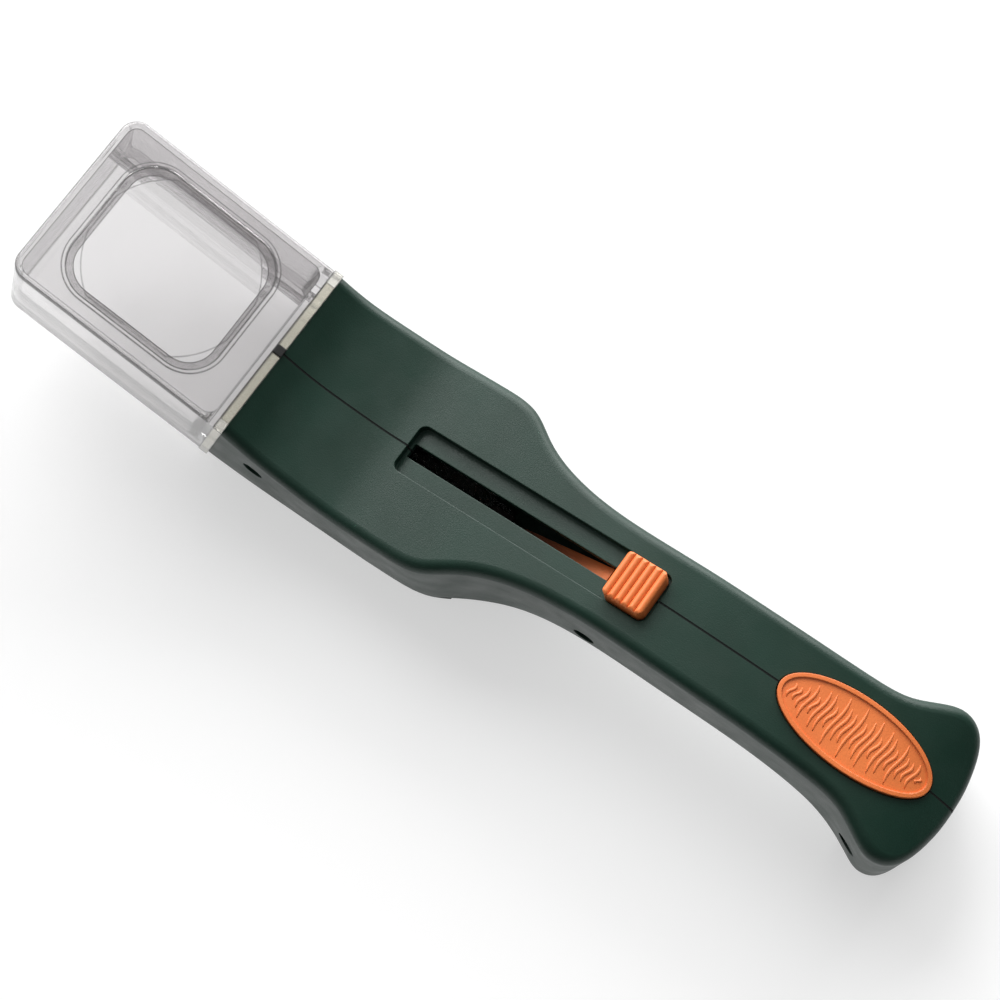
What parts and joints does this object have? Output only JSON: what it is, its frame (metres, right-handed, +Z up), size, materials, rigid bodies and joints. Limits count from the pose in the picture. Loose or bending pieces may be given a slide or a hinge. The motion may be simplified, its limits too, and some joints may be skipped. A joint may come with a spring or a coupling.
{
  "type": "insect catcher",
  "caption": "Hand-held insect catcher: a clear chamber with a magnifying roof, closed from below by a curved trap door that a thumb slide on the handle drives.",
  "frame": {"origin": "on the table, on the middle plane, at the middle of the foot under the head", "axes": "X from the chamber to the tail, Y across to the right shell, Z up"},
  "size_m": [0.3081, 0.0604, 0.0628],
  "materials": {
    "green_shell": "satin dark green moulded plastic",
    "clear_chamber": "clear polished styrene",
    "clear_lens": "clear polished acrylic lens",
    "collar": "translucent yellowish plastic",
    "dark_catch": "black plastic",
    "badge": null,
    "screw_steel": "plain zinc steel",
    "door_sheet": "clear thin flexible plastic sheet",
    "orange_slide": "orange moulded plastic",
    "orange_button": "satin orange plastic"
  },
  "bodies": {
    "housing": {"left_shell": "green_shell", "right_shell": "green_shell", "chamber": "clear_chamber", "magnifier_lens": "clear_lens", "chamber_collar": "collar", "collar_catch": "dark_catch", "tail_badge": "badge", "shell_screws": "screw_steel"},
    "door": {"trap_door": "door_sheet", "door_arm": "orange_slide"},
    "slide": {"carriage": "orange_slide", "thumb_button": "orange_button"}
  },
  "joints": [
    {"name": "door_swing", "type": "hinge", "parent": "housing", "child": "door", "pos_m": [0.00577, 0, 0.29325], "axis": [0, 1, 0], "range_deg": [0, 15]},
    {"name": "button_slide", "type": "slide", "parent": "housing", "child": "slide", "axis": [-0.9895, 0, -0.1444], "range_m": [0, 0.0703]}
  ],
  "couplings": [
    {"joint": "button_slide", "follows": "door_swing", "m_per_rad": 0.26827}
  ]
}
